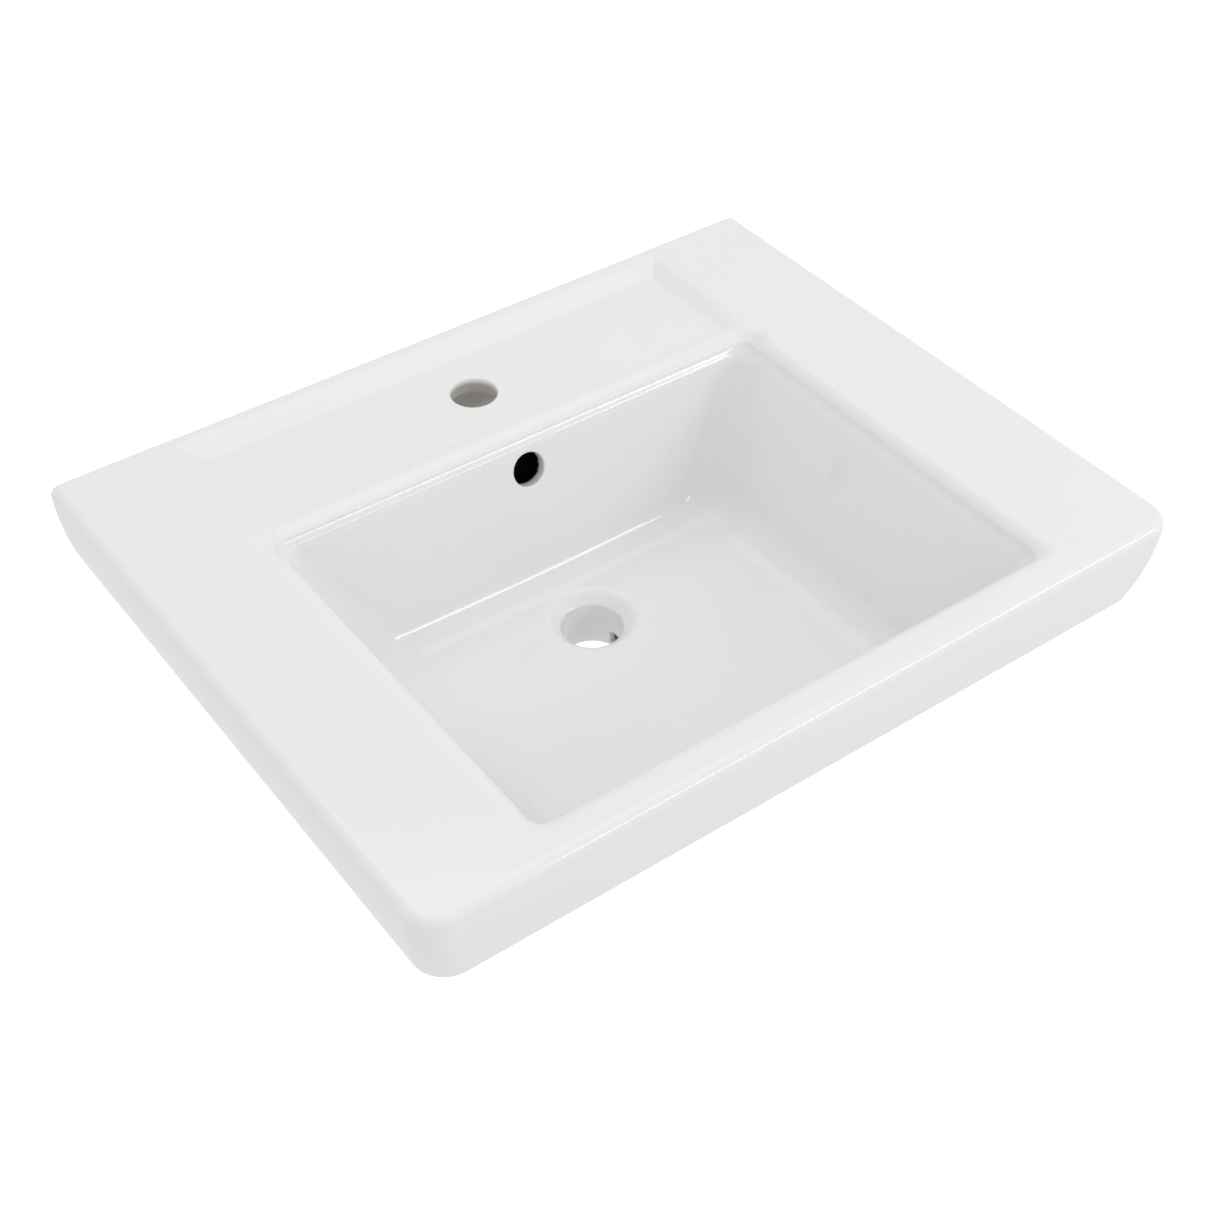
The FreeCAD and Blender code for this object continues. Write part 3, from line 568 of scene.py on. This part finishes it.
def nut(side, name, steel):
    seat = -PANEL_THICKNESS - SLEEVE_COLLAR - WASHER_THICKNESS
    flat, corner = NUT_FLATS / 2, NUT_FLATS / math.sqrt(3)
    bevel = (corner - flat) / math.sqrt(3)
    corners = []
    for end, inward in ((seat, -1), (seat - NUT_HEIGHT, 1)):
        half = [(CLOSE_BORE, end + 0.7 * inward), (CLOSE_BORE + 0.7, end), (flat, end),
                (corner, end + bevel * inward)]
        corners += half if inward < 0 else half[::-1]
    return turned(name, side, rounded(corners, 0.15), steel, 72, hexagonal)


def make_fixings(steel, grey, white):
    kinds = (("hanger_bolt", hanger_bolt, steel, "zinc_plated_steel"),
             ("wall_plug", wall_plug, grey, "grey_nylon"),
             ("sleeve", sleeve, white, "white_nylon"),
             ("washer", washer, steel, "zinc_plated_steel"),
             ("nut", nut, steel, "zinc_plated_steel"))
    for place, side in (("left", -1), ("right", 1)):
        for kind, make, material, slot in kinds:
            piece = make(side, f"{place}_fixing_{kind}", material)
            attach(piece, "root")
            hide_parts(f"{place}_{kind}")


# ---------------------------------------------------------------- materials


def start_material(name):
    material = bpy.data.materials.new(name)
    material.use_nodes = True
    nodes, links = material.node_tree.nodes, material.node_tree.links
    shader = nodes["Principled BSDF"]
    place = nodes.new("ShaderNodeTexCoord")
    return material, nodes, links, shader, place


def noise(nodes, links, place, scale, detail=3):
    texture = nodes.new("ShaderNodeTexNoise")
    texture.inputs["Scale"].default_value = scale
    texture.inputs["Detail"].default_value = detail
    links.new(place.outputs["Object"], texture.inputs["Vector"])
    return texture.outputs["Fac"]


def between(nodes, links, factor, low, high):
    """A number that runs from low to high as factor runs from 0 to 1."""
    spread = nodes.new("ShaderNodeMapRange")
    spread.inputs["To Min"].default_value = low
    spread.inputs["To Max"].default_value = high
    links.new(factor, spread.inputs["Value"])
    return spread.outputs["Result"]


def mixed_colour(nodes, links, factor, first, second):
    mix = nodes.new("ShaderNodeMix")
    mix.data_type = "RGBA"
    for socket, colour in ((mix.inputs[6], first), (mix.inputs[7], second)):
        if isinstance(colour, tuple):
            socket.default_value = (*colour, 1)
        else:
            links.new(colour, socket)
    links.new(factor, mix.inputs[0])
    return mix.outputs[2]


def bump(nodes, links, height, distance, strength=1.0, below=None):
    node = nodes.new("ShaderNodeBump")
    node.inputs["Distance"].default_value = distance
    node.inputs["Strength"].default_value = strength
    links.new(height, node.inputs["Height"])
    if below is not None:
        links.new(below, node.inputs["Normal"])
    return node.outputs["Normal"]


def glazed_china():
    """White glaze over a pale fired body: a faint cloudiness and ripple in the glaze, unglazed
    and chalky where the basin stood in the kiln or meets the wall. That unglazed colour is set
    darker than real pale bisque, as painted shade under the deck and against the wall, and the
    inside of the overflow channel is painted near-black and unreflective as painted shade."""
    material, nodes, links, shader, place = start_material("glazed_china")
    unglazed_and_shaded = nodes.new("ShaderNodeAttribute")
    unglazed_and_shaded.attribute_name = "bare_clay_and_painted_shade"
    clouds = noise(nodes, links, place, 7, 2)
    glaze = mixed_colour(nodes, links, clouds, (0.825, 0.825, 0.825), (0.845, 0.845, 0.843))
    grains = noise(nodes, links, place, 900, 4)
    # Unglazed colour, set darker than real pale bisque: partly the real unglazed body, partly
    # painted shade under the deck and against the wall.
    clay_and_shade_colour = mixed_colour(nodes, links, grains, (0.40, 0.385, 0.36), (0.50, 0.485, 0.455))
    colour = mixed_colour(nodes, links, unglazed_and_shaded.outputs["Fac"], glaze, clay_and_shade_colour)
    # Painted shade: near-black colour and no specular reflection inside the overflow channel,
    # standing for the shade in the closed duct.
    channel = nodes.new("ShaderNodeAttribute")
    channel.attribute_name = "overflow_channel"
    colour = mixed_colour(nodes, links, channel.outputs["Fac"], colour, (0.01, 0.01, 0.01))
    links.new(colour, shader.inputs["Base Color"])
    shine = between(nodes, links, channel.outputs["Fac"], 0.5, 0.0)
    links.new(shine, shader.inputs["Specular IOR Level"])

    polish = between(nodes, links, noise(nodes, links, place, 25), 0.05, 0.085)
    rough = nodes.new("ShaderNodeMix")
    links.new(unglazed_and_shaded.outputs["Fac"], rough.inputs[0])
    links.new(polish, rough.inputs[2])
    rough.inputs[3].default_value = 0.8
    links.new(rough.outputs[0], shader.inputs["Roughness"])

    ripple = bump(nodes, links, noise(nodes, links, place, 22, 1), 0.00004)
    tooth = bump(nodes, links, grains, 0.00003, 1.0, ripple)
    blend = nodes.new("ShaderNodeMix")
    blend.data_type = "VECTOR"
    links.new(unglazed_and_shaded.outputs["Fac"], blend.inputs[0])
    links.new(ripple, blend.inputs[4])
    links.new(tooth, blend.inputs[5])
    links.new(blend.outputs[1], shader.inputs["Normal"])
    shader.inputs["IOR"].default_value = 1.5
    return material


def plain_material(name, dark, light, roughness, grain, metallic=0.0):
    """Two near shades clouded together, with a fine grain in the polish and the surface."""
    material, nodes, links, shader, place = start_material(name)
    clouds = noise(nodes, links, place, 60)
    grains = noise(nodes, links, place, grain, 4)
    links.new(mixed_colour(nodes, links, clouds, dark, light), shader.inputs["Base Color"])
    polish = between(nodes, links, grains, roughness - 0.08, roughness + 0.08)
    links.new(polish, shader.inputs["Roughness"])
    links.new(bump(nodes, links, grains, 0.00002), shader.inputs["Normal"])
    shader.inputs["Metallic"].default_value = metallic
    return material


# ---------------------------------------------------------------- studio


def camera():
    """Above the basin's front left, looking down at the bowl."""
    data = bpy.data.cameras.new("camera")
    data.sensor_width = CAMERA_SENSOR
    data.lens = CAMERA_LENS
    piece = bpy.data.objects.new("camera", data)
    piece.location = CAMERA_PLACE
    level = Vector((math.sin(CAMERA_HEADING), math.cos(CAMERA_HEADING), 0))
    aim = level * math.cos(CAMERA_TILT) + Vector((0, 0, -math.sin(CAMERA_TILT)))
    piece.rotation_euler = aim.to_track_quat("-Z", "Y").to_euler()
    bpy.context.scene.collection.objects.link(piece)
    bpy.context.scene.camera = piece


def softbox(name, place, target, width, height, radiance):
    data = bpy.data.lights.new(name, "AREA")
    data.shape = "RECTANGLE"
    data.size, data.size_y = width, height
    data.energy = radiance * math.pi * width * height
    lamp = bpy.data.objects.new(name, data)
    lamp.location = place
    lamp.rotation_euler = (Vector(target) - Vector(place)).to_track_quat("-Z", "Y").to_euler()
    bpy.context.scene.collection.objects.link(lamp)


def studio():
    world = bpy.data.worlds.new("studio")
    world.use_nodes = True
    air = world.node_tree.nodes["Background"]
    air.inputs["Color"].default_value = (1, 1, 1, 1)
    air.inputs["Strength"].default_value = WORLD_BRIGHTNESS
    bpy.context.scene.world = world

    mesh = bpy.data.meshes.new("floor")
    corners = [(x * FLOOR_REACH, y * FLOOR_REACH, FLOOR_HEIGHT)
               for x, y in ((-1, -1), (1, -1), (1, 1), (-1, 1))]
    mesh.from_pydata(corners, [], [(0, 1, 2, 3)])
    floor = bpy.data.objects.new("floor", mesh)
    bpy.context.scene.collection.objects.link(floor)
    material, nodes, links, shader, place = start_material("pale_floor")
    tint = mixed_colour(nodes, links, noise(nodes, links, place, 2), (0.9, 0.9, 0.9),
                        (0.93, 0.93, 0.93))
    links.new(tint, shader.inputs["Base Color"])
    shader.inputs["Roughness"].default_value = 0.9
    shader.inputs["Emission Color"].default_value = (1, 1, 1, 1)
    shader.inputs["Emission Strength"].default_value = FLOOR_GLOW
    mesh.materials.append(material)
    floor.visible_diffuse = False
    floor.visible_glossy = False

    data = bpy.data.lights.new("key", "SUN")
    data.energy = KEY_STRENGTH
    data.angle = KEY_SPREAD
    key = bpy.data.objects.new("key", data)
    key.rotation_euler = (-Vector(KEY_FROM)).to_track_quat("-Z", "Y").to_euler()
    bpy.context.scene.collection.objects.link(key)

    softbox("strip_softbox", STRIP_PLACE, STRIP_TARGET, STRIP_WIDTH, STRIP_HEIGHT,
            STRIP_RADIANCE)
    bpy.context.scene.view_settings.view_transform = "Standard"


china = glazed_china()
make_basin(china)
make_fixings(
    plain_material("zinc_plated_steel", (0.50, 0.52, 0.55), (0.66, 0.67, 0.68), 0.3, 700, 1.0),
    plain_material("grey_nylon", (0.23, 0.24, 0.25), (0.29, 0.30, 0.31), 0.48, 500),
    plain_material("white_nylon", (0.72, 0.71, 0.68), (0.79, 0.78, 0.76), 0.42, 500))
camera()
studio()
